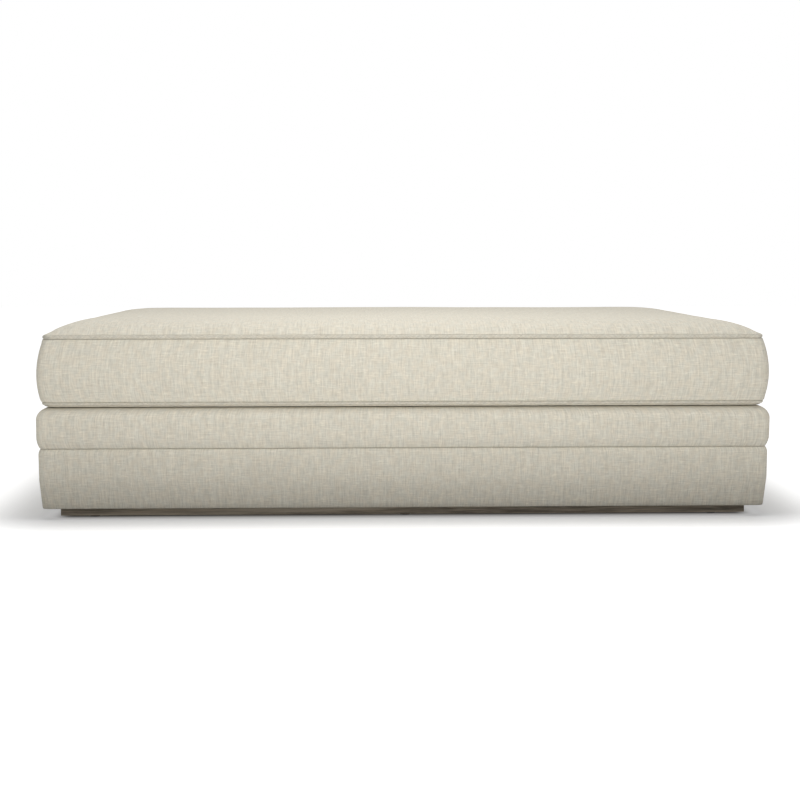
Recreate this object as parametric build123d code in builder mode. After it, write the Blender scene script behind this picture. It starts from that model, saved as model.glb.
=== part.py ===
from build123d import *
import math
import os

os.makedirs("parts", exist_ok=True)

# Long upholstered ottoman: a loose box cushion on a fully covered base with a recessed wooden plinth.
# X runs along the length, the front faces -Y, Z is up, and the floor is at zero.

# Overall size
overall_length = 1524.0
overall_depth = 965.0
corner_radius = 14.0

# Heights, from the floor up
glide_height = 4.0
plinth_height = 20.5
lower_section_height = 125.0
band_height = 84.5
underside_rise = 8.2
boxing_height = 137.0
crown_rise = 33.5

# Cloth, and the clearances that everything shares
fabric_thickness = 1.2
dust_cover_thickness = 0.5
soft_gap = 0.3
cut_overrun = 20.0

# Lower section and band
lower_inset = 3.0
foot_taper = 5.0
taper_height = 60.0
crease_height = 15.0
band_crease_draw = 6.0
lower_crease_draw = 3.6
shoulder_radius = 24.0
shoulder_steps = 6
border_width = 90.0
hem_width = 30.0

# Frame
frame_inset = 18.0
side_board_thickness = 3.0
rail_thickness = 22.0
top_rail_height = 60.0
bottom_rail_width = 90.0
post_side = 45.0
cross_rail_height = 50.0
cross_rail_drop = 30.0
corner_block_leg = 70.0
corner_block_height = 40.0

# Deck
deck_pad_thickness = 12.0
insulator_thickness = 4.0
spring_wire = 3.8
spring_spacing = 150.0
spring_end_room = 90.0
spring_run = 26.0
spring_pitch = 28.0
clip_length = 20.0
clip_width = 14.0
clip_metal = 0.8
clip_play = 0.1

# Plinth and what fastens it
plinth_recess = 33.0
plinth_width = 45.0
glide_radius = 12.0
glide_chamfer = 1.0
screw_radius = 2.5
screw_head_radius = 5.0
screw_head_height = 3.0
screw_bite = 16.0
screw_clearance = 0.2

# Cushion
cushion_corner = 20.0
lower_draw_in = 10.0
upper_draw_in = 14.0
underside_run = 70.0
crown_reach_share = 0.23
crown_shoulder = 28.0
crown_spread_share = 0.8
welt_radius = 4.5
welt_sink = 3.3
core_inset = 40.0
core_stand = 8.0
core_edge_radius = 10.0

# Zipper in the back boxing
zip_allowance = 6.0
zip_end_return = 60.0
zip_opening = 8.0
tape_thickness = 0.5
tape_depth = 1.9
tape_reach = 11.0
tape_split = 2.0
coil_half_width = 2.8
coil_split = 1.2
coil_recess = 0.1
slider_length = 14.0
slider_width = 9.0
slider_wall = 1.2
slider_end_room = 6.0
slider_post_length = 3.0
slider_post_thickness = 0.6
bridge_length = 8.0
bridge_rise = 3.2
bridge_bar = 0.9
bridge_width = 1.6
pull_length = 24.0
pull_width = 6.0
pull_thickness = 1.2
pull_bar_radius = 0.7
pull_bar_lift = 1.0
pull_window_reach = 3.0
pull_play = 0.35
pocket_room = 0.5

# Section shares: up from a crease, and along the crown, the underside and the boxing
crease_shares = (0, 0.15, 0.35, 0.6, 1)
crown_run_shares = (0, 0.02, 0.05, 0.09, 0.14, 0.21, 0.31, 0.45, 0.68, 1)
underside_run_shares = (1, 0.5, 0.17, 0)
underside_rise_shares = (0, 0.1, 0.42, 1)
boxing_shares = (-1, -0.5, 0, 0.5, 1)
boxing_fullest_share = 0.43

# Levels worked out from the heights
plinth_top = glide_height + plinth_height
rail_level = plinth_top + dust_cover_thickness
foot_level = rail_level - soft_gap - fabric_thickness
seam_level = foot_level + lower_section_height
deck_level = seam_level + band_height
cushion_level = deck_level + soft_gap
lower_seam_level = cushion_level + underside_rise
upper_seam_level = lower_seam_level + boxing_height
crown_level = upper_seam_level + crown_rise
zip_level = lower_seam_level + boxing_height * boxing_fullest_share

deck_underside = deck_level - fabric_thickness
deck_pad_level = deck_underside - soft_gap - deck_pad_thickness
insulator_level = deck_pad_level - soft_gap - insulator_thickness
clip_height = spring_wire + 2 * clip_metal + 2 * clip_play
top_rail_top = insulator_level - soft_gap - clip_height
top_rail_level = top_rail_top - top_rail_height
spring_level = top_rail_top + clip_metal + clip_play + spring_wire / 2
bottom_rail_top = rail_level + rail_thickness

half_length = overall_length / 2
half_depth = overall_depth / 2


def plank(low, high):
    """A straight board between two opposite corners."""
    middle = [(a + b) / 2 for a, b in zip(low, high)]
    with BuildPart() as shape:
        with BuildSketch(Plane.XY.offset(low[2])):
            with Locations((middle[0], middle[1])):
                Rectangle(high[0] - low[0], high[1] - low[1])
        extrude(amount=high[2] - low[2])
    return shape.part


def slab(inset, low, high, corner=0):
    """A level slab that stands inside the overall outline by an inset."""
    with BuildPart() as shape:
        with BuildSketch(Plane.XY.offset(low)):
            if corner > 0:
                RectangleRounded(overall_length - 2 * inset, overall_depth - 2 * inset, corner)
            else:
                Rectangle(overall_length - 2 * inset, overall_depth - 2 * inset)
        extrude(amount=high - low)
    return shape.part


def form(rows, length, depth, middle=0, ruled=True):
    """A closed form lofted through rounded rectangles; each row holds a level, an inset and a corner."""
    with BuildPart() as shape:
        for level, inset, corner in rows:
            with BuildSketch(Plane(origin=(0, middle, level))):
                RectangleRounded(length - 2 * inset, depth - 2 * inset, corner)
        loft(ruled=ruled)
    return shape.part


def wedge(side):
    """The part of the plan that belongs to one side, cut at 45 degrees through its corners."""
    reach_x = half_length + cut_overrun
    reach_y = half_depth + cut_overrun
    ridge = half_length - half_depth
    outlines = {
        "front": ((-reach_x, -reach_y), (reach_x, -reach_y), (ridge, 0), (-ridge, 0)),
        "back": ((-reach_x, reach_y), (-ridge, 0), (ridge, 0), (reach_x, reach_y)),
        "left": ((-reach_x, -reach_y), (-ridge, 0), (-reach_x, reach_y)),
        "right": ((reach_x, -reach_y), (reach_x, reach_y), (ridge, 0)),
    }
    with BuildPart() as shape:
        with BuildSketch():
            Polygon(*outlines[side], align=None)
        extrude(amount=crown_level)
    return shape.part


sides = ("front", "back", "left", "right")
wedges = {side: wedge(side) for side in sides}


def four_sides(ring, name):
    """Write a ring that follows the plan as four mitred pieces."""
    for side in sides:
        with BuildPart() as piece:
            add(ring)
            add(wedges[side], mode=Mode.INTERSECT)
        piece.part.label = f"{name}_{side}"
        export_step(piece.part, f"parts/{name}_{side}.step")


# Glides under the plinth boards
plinth_inset = lower_inset + foot_taper + plinth_recess
plinth_x = half_length - plinth_inset - plinth_width / 2
plinth_y = half_depth - plinth_inset - plinth_width / 2
glide_x = plinth_x - plinth_width
glide_places = [(x, y) for x in (-glide_x, 0, glide_x) for y in (-plinth_y, plinth_y)]
glide_places += [(-plinth_x, 0), (plinth_x, 0)]

with BuildPart() as glides:
    with BuildSketch():
        with Locations(*glide_places):
            Circle(glide_radius)
    extrude(amount=glide_height)
    chamfer(glides.faces().sort_by(Axis.Z)[0:len(glide_places)].edges(), length=glide_chamfer)

glides.part.label = "glides"
export_step(glides.part, "parts/glides.step")


# Screws up through the plinth into the bottom rails
screw_span_x = plinth_x - 2 * plinth_width
screw_span_y = plinth_y - 2 * plinth_width
screw_x_shares = (-1, -0.5, 0.5, 1)
screw_y_shares = (-1, 1)
screw_places = [(screw_span_x * share, y) for share in screw_x_shares for y in (-plinth_y, plinth_y)]
screw_places += [(x, screw_span_y * share) for share in screw_y_shares for x in (-plinth_x, plinth_x)]
screw_top = rail_level + screw_bite

with BuildPart() as plinth_screws:
    with BuildSketch(Plane.XY.offset(glide_height)):
        with Locations(*screw_places):
            Circle(screw_radius)
    extrude(amount=screw_top - glide_height)
    with BuildSketch(Plane.XY.offset(glide_height)) as heads:
        with Locations(*screw_places):
            Circle(screw_head_radius)
    with BuildSketch(Plane.XY.offset(glide_height + screw_head_height)) as necks:
        with Locations(*screw_places):
            Circle(screw_radius)
    for head, neck in zip(heads.sketch.faces(), necks.sketch.faces()):
        loft([head, neck])

plinth_screws.part.label = "plinth_screws"
export_step(plinth_screws.part, "parts/plinth_screws.step")


def screw_bores(low, high):
    """Clearance bores for the plinth screws between two levels."""
    with BuildPart() as bores:
        with BuildSketch(Plane.XY.offset(low)):
            with Locations(*screw_places):
                Circle(screw_radius + screw_clearance)
        extrude(amount=high - low)
    return bores.part


# Plinth: a mitred frame of flat boards with countersunk screw holes, and a cross board
with BuildPart() as plinth_ring:
    add(slab(plinth_inset, glide_height, plinth_top))
    add(slab(plinth_inset + plinth_width, glide_height, plinth_top), mode=Mode.SUBTRACT)
    with Locations(Plane(origin=(0, 0, glide_height), z_dir=(0, 0, -1))):
        with Locations(*[(x, -y) for x, y in screw_places]):
            CounterSinkHole(
                radius=screw_radius + screw_clearance,
                counter_sink_radius=screw_head_radius + screw_clearance,
                depth=plinth_height,
            )

four_sides(plinth_ring.part, "plinth")

plinth_inner_y = half_depth - plinth_inset - plinth_width
plinth_cross = plank(
    (-plinth_width / 2, -plinth_inner_y, glide_height),
    (plinth_width / 2, plinth_inner_y, plinth_top),
)
plinth_cross.label = "plinth_cross_board"
export_step(plinth_cross, "parts/plinth_cross_board.step")


# Dust cover between the plinth and the rails, inside the turned-under hem
hem_inset = lower_inset + foot_taper + hem_width

with BuildPart() as dust_cover:
    add(slab(hem_inset + soft_gap, plinth_top, rail_level))
    add(screw_bores(plinth_top, rail_level), mode=Mode.SUBTRACT)

dust_cover.part.label = "dust_cover"
export_step(dust_cover.part, "parts/dust_cover.step")


# Bottom rails: wide boards laid flat, the end rails fitted between the long ones
rail_inset = frame_inset + side_board_thickness
rail_x = half_length - rail_inset
rail_y = half_depth - rail_inset
end_rail_y = rail_y - bottom_rail_width
bottom_rail_corners = {
    "front": ((-rail_x, -rail_y), (rail_x, -end_rail_y)),
    "back": ((-rail_x, end_rail_y), (rail_x, rail_y)),
    "left": ((-rail_x, -end_rail_y), (bottom_rail_width - rail_x, end_rail_y)),
    "right": ((rail_x - bottom_rail_width, -end_rail_y), (rail_x, end_rail_y)),
}
pilot_bores = screw_bores(rail_level, screw_top)

for side, (low, high) in bottom_rail_corners.items():
    with BuildPart() as bottom_rail:
        add(plank((*low, rail_level), (*high, bottom_rail_top)))
        add(pilot_bores, mode=Mode.SUBTRACT)
    bottom_rail.part.label = f"bottom_rail_{side}"
    export_step(bottom_rail.part, f"parts/bottom_rail_{side}.step")


# Top rails: boards on edge that carry the spring clips
end_top_rail_y = rail_y - rail_thickness
top_rail_corners = {
    "front": ((-rail_x, -rail_y), (rail_x, -end_top_rail_y)),
    "back": ((-rail_x, end_top_rail_y), (rail_x, rail_y)),
    "left": ((-rail_x, -end_top_rail_y), (rail_thickness - rail_x, end_top_rail_y)),
    "right": ((rail_x - rail_thickness, -end_top_rail_y), (rail_x, end_top_rail_y)),
}

for side, (low, high) in top_rail_corners.items():
    top_rail = plank((*low, top_rail_level), (*high, top_rail_top))
    top_rail.label = f"top_rail_{side}"
    export_step(top_rail, f"parts/top_rail_{side}.step")


# Corner posts stand on the bottom rails inside the top rails
post_x = rail_x - rail_thickness - post_side / 2
post_y = rail_y - rail_thickness - post_side / 2

with BuildPart() as corner_posts:
    with BuildSketch(Plane.XY.offset(bottom_rail_top)):
        with GridLocations(2 * post_x, 2 * post_y, 2, 2):
            Rectangle(post_side, post_side)
    extrude(amount=top_rail_top - bottom_rail_top)

corner_posts.part.label = "corner_posts"
export_step(corner_posts.part, "parts/corner_posts.step")


# Middle posts carry the long top rails and the cross rails
middle_post_spacing = 2 * post_x / 3

with BuildPart() as middle_posts:
    with BuildSketch(Plane.XY.offset(bottom_rail_top)):
        with GridLocations(middle_post_spacing, 2 * post_y, 2, 2):
            Rectangle(post_side, post_side)
    extrude(amount=top_rail_top - cross_rail_drop - bottom_rail_top)

middle_posts.part.label = "middle_posts"
export_step(middle_posts.part, "parts/middle_posts.step")


# Cross rails run between the middle posts, below the springs
cross_rail_top = top_rail_top - cross_rail_drop
cross_rail_y = post_y - post_side / 2

with BuildPart() as cross_rails:
    with BuildSketch(Plane.XY.offset(cross_rail_top - cross_rail_height)):
        with GridLocations(middle_post_spacing, 0, 2, 1):
            Rectangle(rail_thickness, 2 * cross_rail_y)
    extrude(amount=cross_rail_height)

cross_rails.part.label = "cross_rails"
export_step(cross_rails.part, "parts/cross_rails.step")


# Glued three-cornered blocks between the corner posts and the bottom rails
block_x = post_x - post_side / 2
block_y = rail_y - rail_thickness

with BuildPart() as corner_blocks:
    with BuildSketch(Plane.XY.offset(bottom_rail_top)):
        for sign_x in (-1, 1):
            for sign_y in (-1, 1):
                Polygon(
                    (sign_x * block_x, sign_y * block_y),
                    (sign_x * (block_x - corner_block_leg), sign_y * block_y),
                    (sign_x * block_x, sign_y * (block_y - post_side)),
                    align=None,
                )
    extrude(amount=corner_block_height)

corner_blocks.part.label = "corner_blocks"
export_step(corner_blocks.part, "parts/corner_blocks.step")


# Side boards close the frame between the rails, the end boards fitted between the long ones
board_x = half_length - frame_inset
board_y = half_depth - frame_inset
side_board_corners = {
    "front": ((-board_x, -board_y), (board_x, -rail_y)),
    "back": ((-board_x, rail_y), (board_x, board_y)),
    "left": ((-board_x, -rail_y), (-rail_x, rail_y)),
    "right": ((rail_x, -rail_y), (board_x, rail_y)),
}

for side, (low, high) in side_board_corners.items():
    side_board = plank((*low, rail_level), (*high, top_rail_top))
    side_board.label = f"side_board_{side}"
    export_step(side_board, f"parts/side_board_{side}.step")


# Sinuous springs: straight runs joined by half turns, from the front rail to the back rail
clip_y = rail_y - rail_thickness / 2
spring_reach = 2 * (rail_x - rail_thickness - spring_end_room)
spring_count = 1 + math.floor(spring_reach / spring_spacing)
turn_count = 2 * round(clip_y / spring_pitch)
turn_pitch = 2 * clip_y / turn_count

with BuildPart() as spring:
    with BuildLine(Plane.XY.offset(spring_level)) as spring_line:
        for turn in range(turn_count + 1):
            heading = 1 if turn % 2 == 0 else -1
            run_y = turn * turn_pitch - clip_y
            start = (-heading * spring_run / 2, run_y)
            end = (heading * spring_run / 2, run_y)
            Line(start, end)
            if turn < turn_count:
                bulge = (heading * (spring_run + turn_pitch) / 2, run_y + turn_pitch / 2)
                ThreePointArc(end, bulge, (end[0], run_y + turn_pitch))
    with BuildSketch(Plane(origin=(-spring_run / 2, -clip_y, spring_level), z_dir=(1, 0, 0))):
        Circle(spring_wire / 2)
    sweep()

with BuildPart() as sinuous_springs:
    with GridLocations(spring_spacing, 0, spring_count, 1):
        add(spring.part)

sinuous_springs.part.label = "sinuous_springs"
export_step(sinuous_springs.part, "parts/sinuous_springs.step")


# Spring clips: bent strips on the top rails, open towards the middle, round the end run of each spring
clip_slot = spring_wire / 2 + clip_play

with BuildPart() as spring_clips:
    for side_sign in (-1, 1):
        with BuildSketch(Plane.XY.offset(top_rail_top)):
            with Locations((0, side_sign * clip_y)):
                with GridLocations(spring_spacing, 0, spring_count, 1):
                    Rectangle(clip_length, clip_width)
    extrude(amount=clip_height)
    for side_sign in (-1, 1):
        slot_depth = clip_width / 2 + clip_slot
        slot_middle = side_sign * (clip_y + clip_slot - slot_depth / 2)
        with BuildSketch(Plane.XY.offset(top_rail_top + clip_metal)):
            with Locations((0, slot_middle)):
                with GridLocations(spring_spacing, 0, spring_count, 1):
                    Rectangle(clip_length, slot_depth)
        extrude(amount=clip_height - 2 * clip_metal, mode=Mode.SUBTRACT)

spring_clips.part.label = "spring_clips"
export_step(spring_clips.part, "parts/spring_clips.step")


# Insulator felt over the springs and the rails
insulator = slab(frame_inset + soft_gap, insulator_level, insulator_level + insulator_thickness)
insulator.label = "spring_insulator"
export_step(insulator, "parts/spring_insulator.step")


# Deck pad and deck cloth fill the opening inside the border
deck_pad = slab(border_width + soft_gap, deck_pad_level, deck_underside - soft_gap)
deck_pad.label = "deck_pad"
export_step(deck_pad, "parts/deck_pad.step")

deck_cloth = slab(border_width, deck_underside, deck_level)
deck_cloth.label = "deck_cloth"
export_step(deck_cloth, "parts/deck_cloth.step")


def lower_rows(skin):
    """Levels, insets and corners of the lower section, drawn in at its foot and at its seam."""
    corner = corner_radius - skin
    rows = [(foot_level + skin, lower_inset + foot_taper + skin, corner)]
    rows.append((foot_level + taper_height, lower_inset + skin, corner))
    for share in reversed(crease_shares):
        inset = lower_inset + lower_crease_draw * (1 - share) ** 2 + skin
        rows.append((seam_level - crease_height * share, inset, corner))
    return rows


def band_form(skin, low):
    """The border band, drawn in at its seam and rounded over at its shoulder, shrunk by a skin."""
    corner = corner_radius - skin
    radius = shoulder_radius - skin
    rows = []
    for share in crease_shares:
        inset = band_crease_draw * (1 - share) ** 2 + skin
        rows.append((low + crease_height * share, inset, corner))
    for step in range(shoulder_steps + 1):
        turn = math.pi / 2 * step / shoulder_steps
        level = deck_level - skin - radius * (1 - math.sin(turn))
        rows.append((level, skin + radius * (1 - math.cos(turn)), corner))
    return form(rows, overall_length, overall_depth)


# Lower covers, turned under at the foot
with BuildPart() as lower_ring:
    add(form(lower_rows(0), overall_length, overall_depth))
    add(form(lower_rows(fabric_thickness), overall_length, overall_depth), mode=Mode.SUBTRACT)
    add(slab(hem_inset, foot_level, seam_level), mode=Mode.SUBTRACT)

four_sides(lower_ring.part, "lower_cover")

# Padding between the lower covers and the side boards
padding_skin = fabric_thickness + soft_gap

with BuildPart() as padding_ring:
    add(form(lower_rows(padding_skin), overall_length, overall_depth))
    add(slab(frame_inset - soft_gap, foot_level, seam_level), mode=Mode.SUBTRACT)

four_sides(padding_ring.part, "lower_padding")

# Band covers, from the seam over the shoulder to the deck cloth
with BuildPart() as band_ring:
    add(band_form(0, seam_level))
    add(band_form(fabric_thickness, seam_level), mode=Mode.SUBTRACT)
    add(slab(border_width, seam_level, deck_level), mode=Mode.SUBTRACT)

four_sides(band_ring.part, "band_cover")

# Border foam under the band covers, over the edge of the frame
with BuildPart() as foam_ring:
    add(band_form(padding_skin, seam_level + soft_gap))
    add(slab(frame_inset - soft_gap, seam_level, deck_pad_level), mode=Mode.SUBTRACT)
    add(slab(border_width, seam_level, deck_level), mode=Mode.SUBTRACT)

four_sides(foam_ring.part, "border_foam")


# Cushion outline, set back from the base at the rear to leave room for the zipper slider
cushion_depth = overall_depth - zip_allowance
cushion_middle = -zip_allowance / 2
back_face = half_depth - zip_allowance
zip_half = half_length - zip_end_return
crown_run = cushion_depth * crown_reach_share


def crown_rows(skin):
    """The crown, steep at the upper seam and easing to its flat top."""
    rows = []
    full_rise = 1 - math.exp(-crown_run / crown_shoulder)
    for run_share in crown_run_shares:
        run = crown_run * run_share
        rise_share = (1 - math.exp(-run / crown_shoulder)) / full_rise
        corner = cushion_corner + run * crown_spread_share - skin
        rows.append((upper_seam_level + crown_rise * rise_share - skin, upper_draw_in + run + skin, corner))
    return rows


def underside_rows(skin):
    """The underside, from its flat resting face out to the lower seam."""
    rows = []
    for run_share, rise_share in zip(underside_run_shares, underside_rise_shares):
        inset = lower_draw_in + underside_run * run_share + skin
        rows.append((cushion_level + underside_rise * rise_share + skin, inset, cushion_corner - skin))
    return rows


def boxing_rows(skin):
    """The boxing, drawn in at both seams and fullest at the level of the zipper."""
    rows = []
    for share in boxing_shares:
        seam_reach = upper_seam_level - zip_level if share > 0 else zip_level - lower_seam_level
        draw_in = upper_draw_in if share > 0 else lower_draw_in
        rows.append((zip_level + seam_reach * share, draw_in * share**2 + skin, cushion_corner - skin))
    return rows


def cushion_form(rows, ruled=True):
    """A closed form on the cushion's own outline."""
    return form(rows, overall_length, cushion_depth, cushion_middle, ruled)


def welt(level, draw_in, radius):
    """A covered cord round the cushion, sunk into the seam between the edges that it joins."""
    inset = draw_in + welt_sink
    with BuildPart() as ring:
        with BuildSketch(Plane(origin=(0, cushion_middle, level)), mode=Mode.PRIVATE) as outline:
            RectangleRounded(
                overall_length - 2 * inset,
                cushion_depth - 2 * inset,
                cushion_corner - welt_sink,
            )
        path = outline.sketch.faces()[0].outer_wire()
        with BuildSketch(Plane(origin=path @ 0, z_dir=path % 0)):
            Circle(radius)
        sweep(path=path)
    return ring.part


upper_welt = welt(upper_seam_level, upper_draw_in, welt_radius)
upper_welt.label = "upper_welt"
export_step(upper_welt, "parts/upper_welt.step")

lower_welt = welt(lower_seam_level, lower_draw_in, welt_radius)
lower_welt.label = "lower_welt"
export_step(lower_welt, "parts/lower_welt.step")

upper_groove = welt(upper_seam_level, upper_draw_in, welt_radius + soft_gap)
lower_groove = welt(lower_seam_level, lower_draw_in, welt_radius + soft_gap)


# Top panel and underside panel of the cushion cover
with BuildPart() as top_panel:
    add(cushion_form(crown_rows(0)))
    add(cushion_form(crown_rows(fabric_thickness)), mode=Mode.SUBTRACT)
    add(upper_groove, mode=Mode.SUBTRACT)

top_panel.part.label = "cushion_top_panel"
export_step(top_panel.part, "parts/cushion_top_panel.step")

with BuildPart() as bottom_panel:
    add(cushion_form(underside_rows(0)))
    add(cushion_form(underside_rows(fabric_thickness)), mode=Mode.SUBTRACT)
    add(lower_groove, mode=Mode.SUBTRACT)

bottom_panel.part.label = "cushion_bottom_panel"
export_step(bottom_panel.part, "parts/cushion_bottom_panel.step")


# Boxing: one strip round the front and the ends, and two strips at the back beside the zipper
back_zone = plank((-zip_half, 0, cushion_level), (zip_half, half_depth, crown_level))
zip_gap_zone = plank(
    (-zip_half, 0, zip_level - zip_opening / 2),
    (zip_half, half_depth, zip_level + zip_opening / 2),
)

with BuildPart() as boxing_ring:
    add(cushion_form(boxing_rows(0), ruled=False))
    add(cushion_form(boxing_rows(fabric_thickness), ruled=False), mode=Mode.SUBTRACT)
    add(upper_groove, mode=Mode.SUBTRACT)
    add(lower_groove, mode=Mode.SUBTRACT)

with BuildPart() as boxing_strip:
    add(boxing_ring.part)
    add(back_zone, mode=Mode.SUBTRACT)

boxing_strip.part.label = "boxing_strip"
export_step(boxing_strip.part, "parts/boxing_strip.step")

boxing_keeps = {"upper": Keep.TOP, "lower": Keep.BOTTOM}

for height, keep in boxing_keeps.items():
    with BuildPart() as back_strip:
        add(boxing_ring.part)
        add(back_zone, mode=Mode.INTERSECT)
        add(zip_gap_zone, mode=Mode.SUBTRACT)
        split(bisect_by=Plane.XY.offset(zip_level), keep=keep)
    back_strip.part.label = f"boxing_back_{height}"
    export_step(back_strip.part, f"parts/boxing_back_{height}.step")


# Foam core, a block with eased edges
fill_skin = fabric_thickness + soft_gap
core_level = cushion_level + fill_skin + core_stand
core_top = upper_seam_level + core_stand


def core_form(skin):
    """The foam core, grown by a skin."""
    with BuildPart() as shape:
        with BuildSketch(Plane(origin=(0, cushion_middle, core_level - skin))):
            RectangleRounded(
                overall_length - 2 * (core_inset - skin),
                cushion_depth - 2 * (core_inset - skin),
                cushion_corner + skin,
            )
        extrude(amount=core_top - core_level + 2 * skin)
        fillet(shape.faces().sort_by(Axis.Z)[0].edges(), radius=core_edge_radius)
        fillet(shape.faces().sort_by(Axis.Z)[-1].edges(), radius=core_edge_radius)
    return shape.part


foam_core = core_form(0)
foam_core.label = "foam_core"
export_step(foam_core, "parts/foam_core.step")


# Fibre layers above and below the foam, which meet half way up the sides behind the zipper
pocket_depth = tape_depth + tape_thickness + soft_gap + slider_wall + pocket_room
zip_pocket = plank(
    (-zip_half - soft_gap, back_face - pocket_depth, zip_level - tape_reach - pocket_room),
    (zip_half + soft_gap, half_depth, zip_level + tape_reach + pocket_room),
)
core_hollow = core_form(soft_gap)

with BuildPart() as fibre_top:
    add(cushion_form(boxing_rows(fill_skin), ruled=False))
    split(bisect_by=Plane.XY.offset(zip_level), keep=Keep.TOP)
    add(cushion_form(crown_rows(fill_skin)))
    add(upper_groove, mode=Mode.SUBTRACT)
    add(core_hollow, mode=Mode.SUBTRACT)
    add(zip_pocket, mode=Mode.SUBTRACT)

fibre_top.part.label = "fibre_top"
export_step(fibre_top.part, "parts/fibre_top.step")

with BuildPart() as fibre_bottom:
    add(cushion_form(boxing_rows(fill_skin), ruled=False))
    split(bisect_by=Plane.XY.offset(zip_level), keep=Keep.BOTTOM)
    add(cushion_form(underside_rows(fill_skin)))
    add(lower_groove, mode=Mode.SUBTRACT)
    add(core_hollow, mode=Mode.SUBTRACT)
    add(zip_pocket, mode=Mode.SUBTRACT)

fibre_bottom.part.label = "fibre_bottom"
export_step(fibre_bottom.part, "parts/fibre_bottom.step")


# Zipper tapes and tooth coils, straight along the back, with a gap for the slider's post
tape_outer = back_face - tape_depth
coil_outer = back_face - coil_recess

with BuildPart() as zipper_tapes:
    for side_sign in (-1, 1):
        inner_z = zip_level + side_sign * tape_split / 2
        outer_z = zip_level + side_sign * tape_reach
        low_z, high_z = sorted((inner_z, outer_z))
        add(plank((-zip_half, tape_outer - tape_thickness, low_z), (zip_half, tape_outer, high_z)))

zipper_tapes.part.label = "zipper_tapes"
export_step(zipper_tapes.part, "parts/zipper_tapes.step")

with BuildPart() as zipper_coils:
    for side_sign in (-1, 1):
        inner_z = zip_level + side_sign * coil_split / 2
        outer_z = zip_level + side_sign * coil_half_width
        low_z, high_z = sorted((inner_z, outer_z))
        add(plank((-zip_half, tape_outer, low_z), (zip_half, coil_outer, high_z)))

zipper_coils.part.label = "zipper_coils"
export_step(zipper_coils.part, "parts/zipper_coils.step")


# Slider: two plates joined by a post, with a bridge that carries the pull
slider_x = zip_half - slider_end_room - slider_length / 2
plate_low = back_face + soft_gap
plate_high = plate_low + slider_wall
inner_plate_high = tape_outer - tape_thickness - soft_gap
inner_plate_low = inner_plate_high - slider_wall
plate_x = (slider_x - slider_length / 2, slider_x + slider_length / 2)
plate_z = (zip_level - slider_width / 2, zip_level + slider_width / 2)

with BuildPart() as zip_slider:
    add(plank((plate_x[0], plate_low, plate_z[0]), (plate_x[1], plate_high, plate_z[1])))
    add(plank((plate_x[0], inner_plate_low, plate_z[0]), (plate_x[1], inner_plate_high, plate_z[1])))
    add(
        plank(
            (plate_x[1] - slider_post_length, inner_plate_low, zip_level - slider_post_thickness / 2),
            (plate_x[1], plate_high, zip_level + slider_post_thickness / 2),
        )
    )
    add(
        plank(
            (slider_x - bridge_length / 2, plate_high, zip_level - bridge_width / 2),
            (slider_x + bridge_length / 2, plate_high + bridge_rise, zip_level + bridge_width / 2),
        )
    )
    add(
        plank(
            (slider_x - bridge_length / 2 + bridge_bar, plate_high, zip_level - bridge_width / 2),
            (
                slider_x + bridge_length / 2 - bridge_bar,
                plate_high + bridge_rise - bridge_bar,
                zip_level + bridge_width / 2,
            ),
        ),
        mode=Mode.SUBTRACT,
    )

zip_slider.part.label = "zip_slider"
export_step(zip_slider.part, "parts/zip_slider.step")


# Pull: a flat tab with a window, hung on the bridge by its round end bar
pull_x = slider_x - bridge_length / 2 + bridge_bar + pull_play + pull_bar_radius
pull_y = plate_high + pull_bar_lift
window_half = bridge_width / 2 + pull_play
tab_origin = (pull_x, pull_y - pull_thickness / 2, zip_level)

with BuildPart() as zip_pull:
    with BuildSketch(Plane(origin=tab_origin, x_dir=(-1, 0, 0), z_dir=(0, 1, 0))):
        with Locations((pull_length / 2, 0)):
            Rectangle(pull_length, pull_width)
        with Locations((pull_length, 0)):
            Circle(pull_width / 2)
        with Locations((pull_window_reach / 2, 0)):
            Rectangle(pull_window_reach, 2 * window_half, mode=Mode.SUBTRACT)
    extrude(amount=pull_thickness)
    with BuildSketch(Plane(origin=(pull_x, pull_y, zip_level - pull_width / 2))):
        Circle(pull_bar_radius)
    extrude(amount=pull_width)

zip_pull.part.label = "zip_pull"
export_step(zip_pull.part, "parts/zip_pull.step")
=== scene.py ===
# %% [markdown]
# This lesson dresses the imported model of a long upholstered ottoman: a loose box cushion on a padded, fully
# covered base that stands on a recessed wooden plinth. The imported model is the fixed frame. Every piece
# made below goes where that frame says, in place of the plain solid there.

# %% Load the frame
import math

import bmesh
import bpy
import numpy as np
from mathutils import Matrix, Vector, bvhtree, kdtree, noise


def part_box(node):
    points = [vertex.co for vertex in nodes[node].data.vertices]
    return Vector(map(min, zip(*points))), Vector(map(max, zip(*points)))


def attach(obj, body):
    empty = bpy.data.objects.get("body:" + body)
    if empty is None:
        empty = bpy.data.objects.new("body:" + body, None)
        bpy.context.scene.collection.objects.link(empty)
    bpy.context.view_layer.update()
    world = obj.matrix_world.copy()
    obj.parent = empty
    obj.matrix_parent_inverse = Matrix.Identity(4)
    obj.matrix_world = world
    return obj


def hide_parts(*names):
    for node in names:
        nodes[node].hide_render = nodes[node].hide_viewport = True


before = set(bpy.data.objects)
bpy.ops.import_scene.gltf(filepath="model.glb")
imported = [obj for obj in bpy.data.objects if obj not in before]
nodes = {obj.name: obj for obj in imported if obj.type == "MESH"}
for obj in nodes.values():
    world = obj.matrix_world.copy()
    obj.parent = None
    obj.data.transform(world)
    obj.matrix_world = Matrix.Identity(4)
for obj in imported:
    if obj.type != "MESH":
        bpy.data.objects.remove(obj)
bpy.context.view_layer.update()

# %% [markdown]
# A photograph fixes where the camera stood. This one stood almost square to the long front, a little above
# it and a little to the left, some three metres away. The lens follows from the width of the ottoman in the
# picture, on a square sensor 36 mm wide.

# %% Camera
def add_object(name, data):
    """A new object in the scene."""
    made = bpy.data.objects.new(name, data)
    bpy.context.scene.collection.objects.link(made)
    return made


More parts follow.
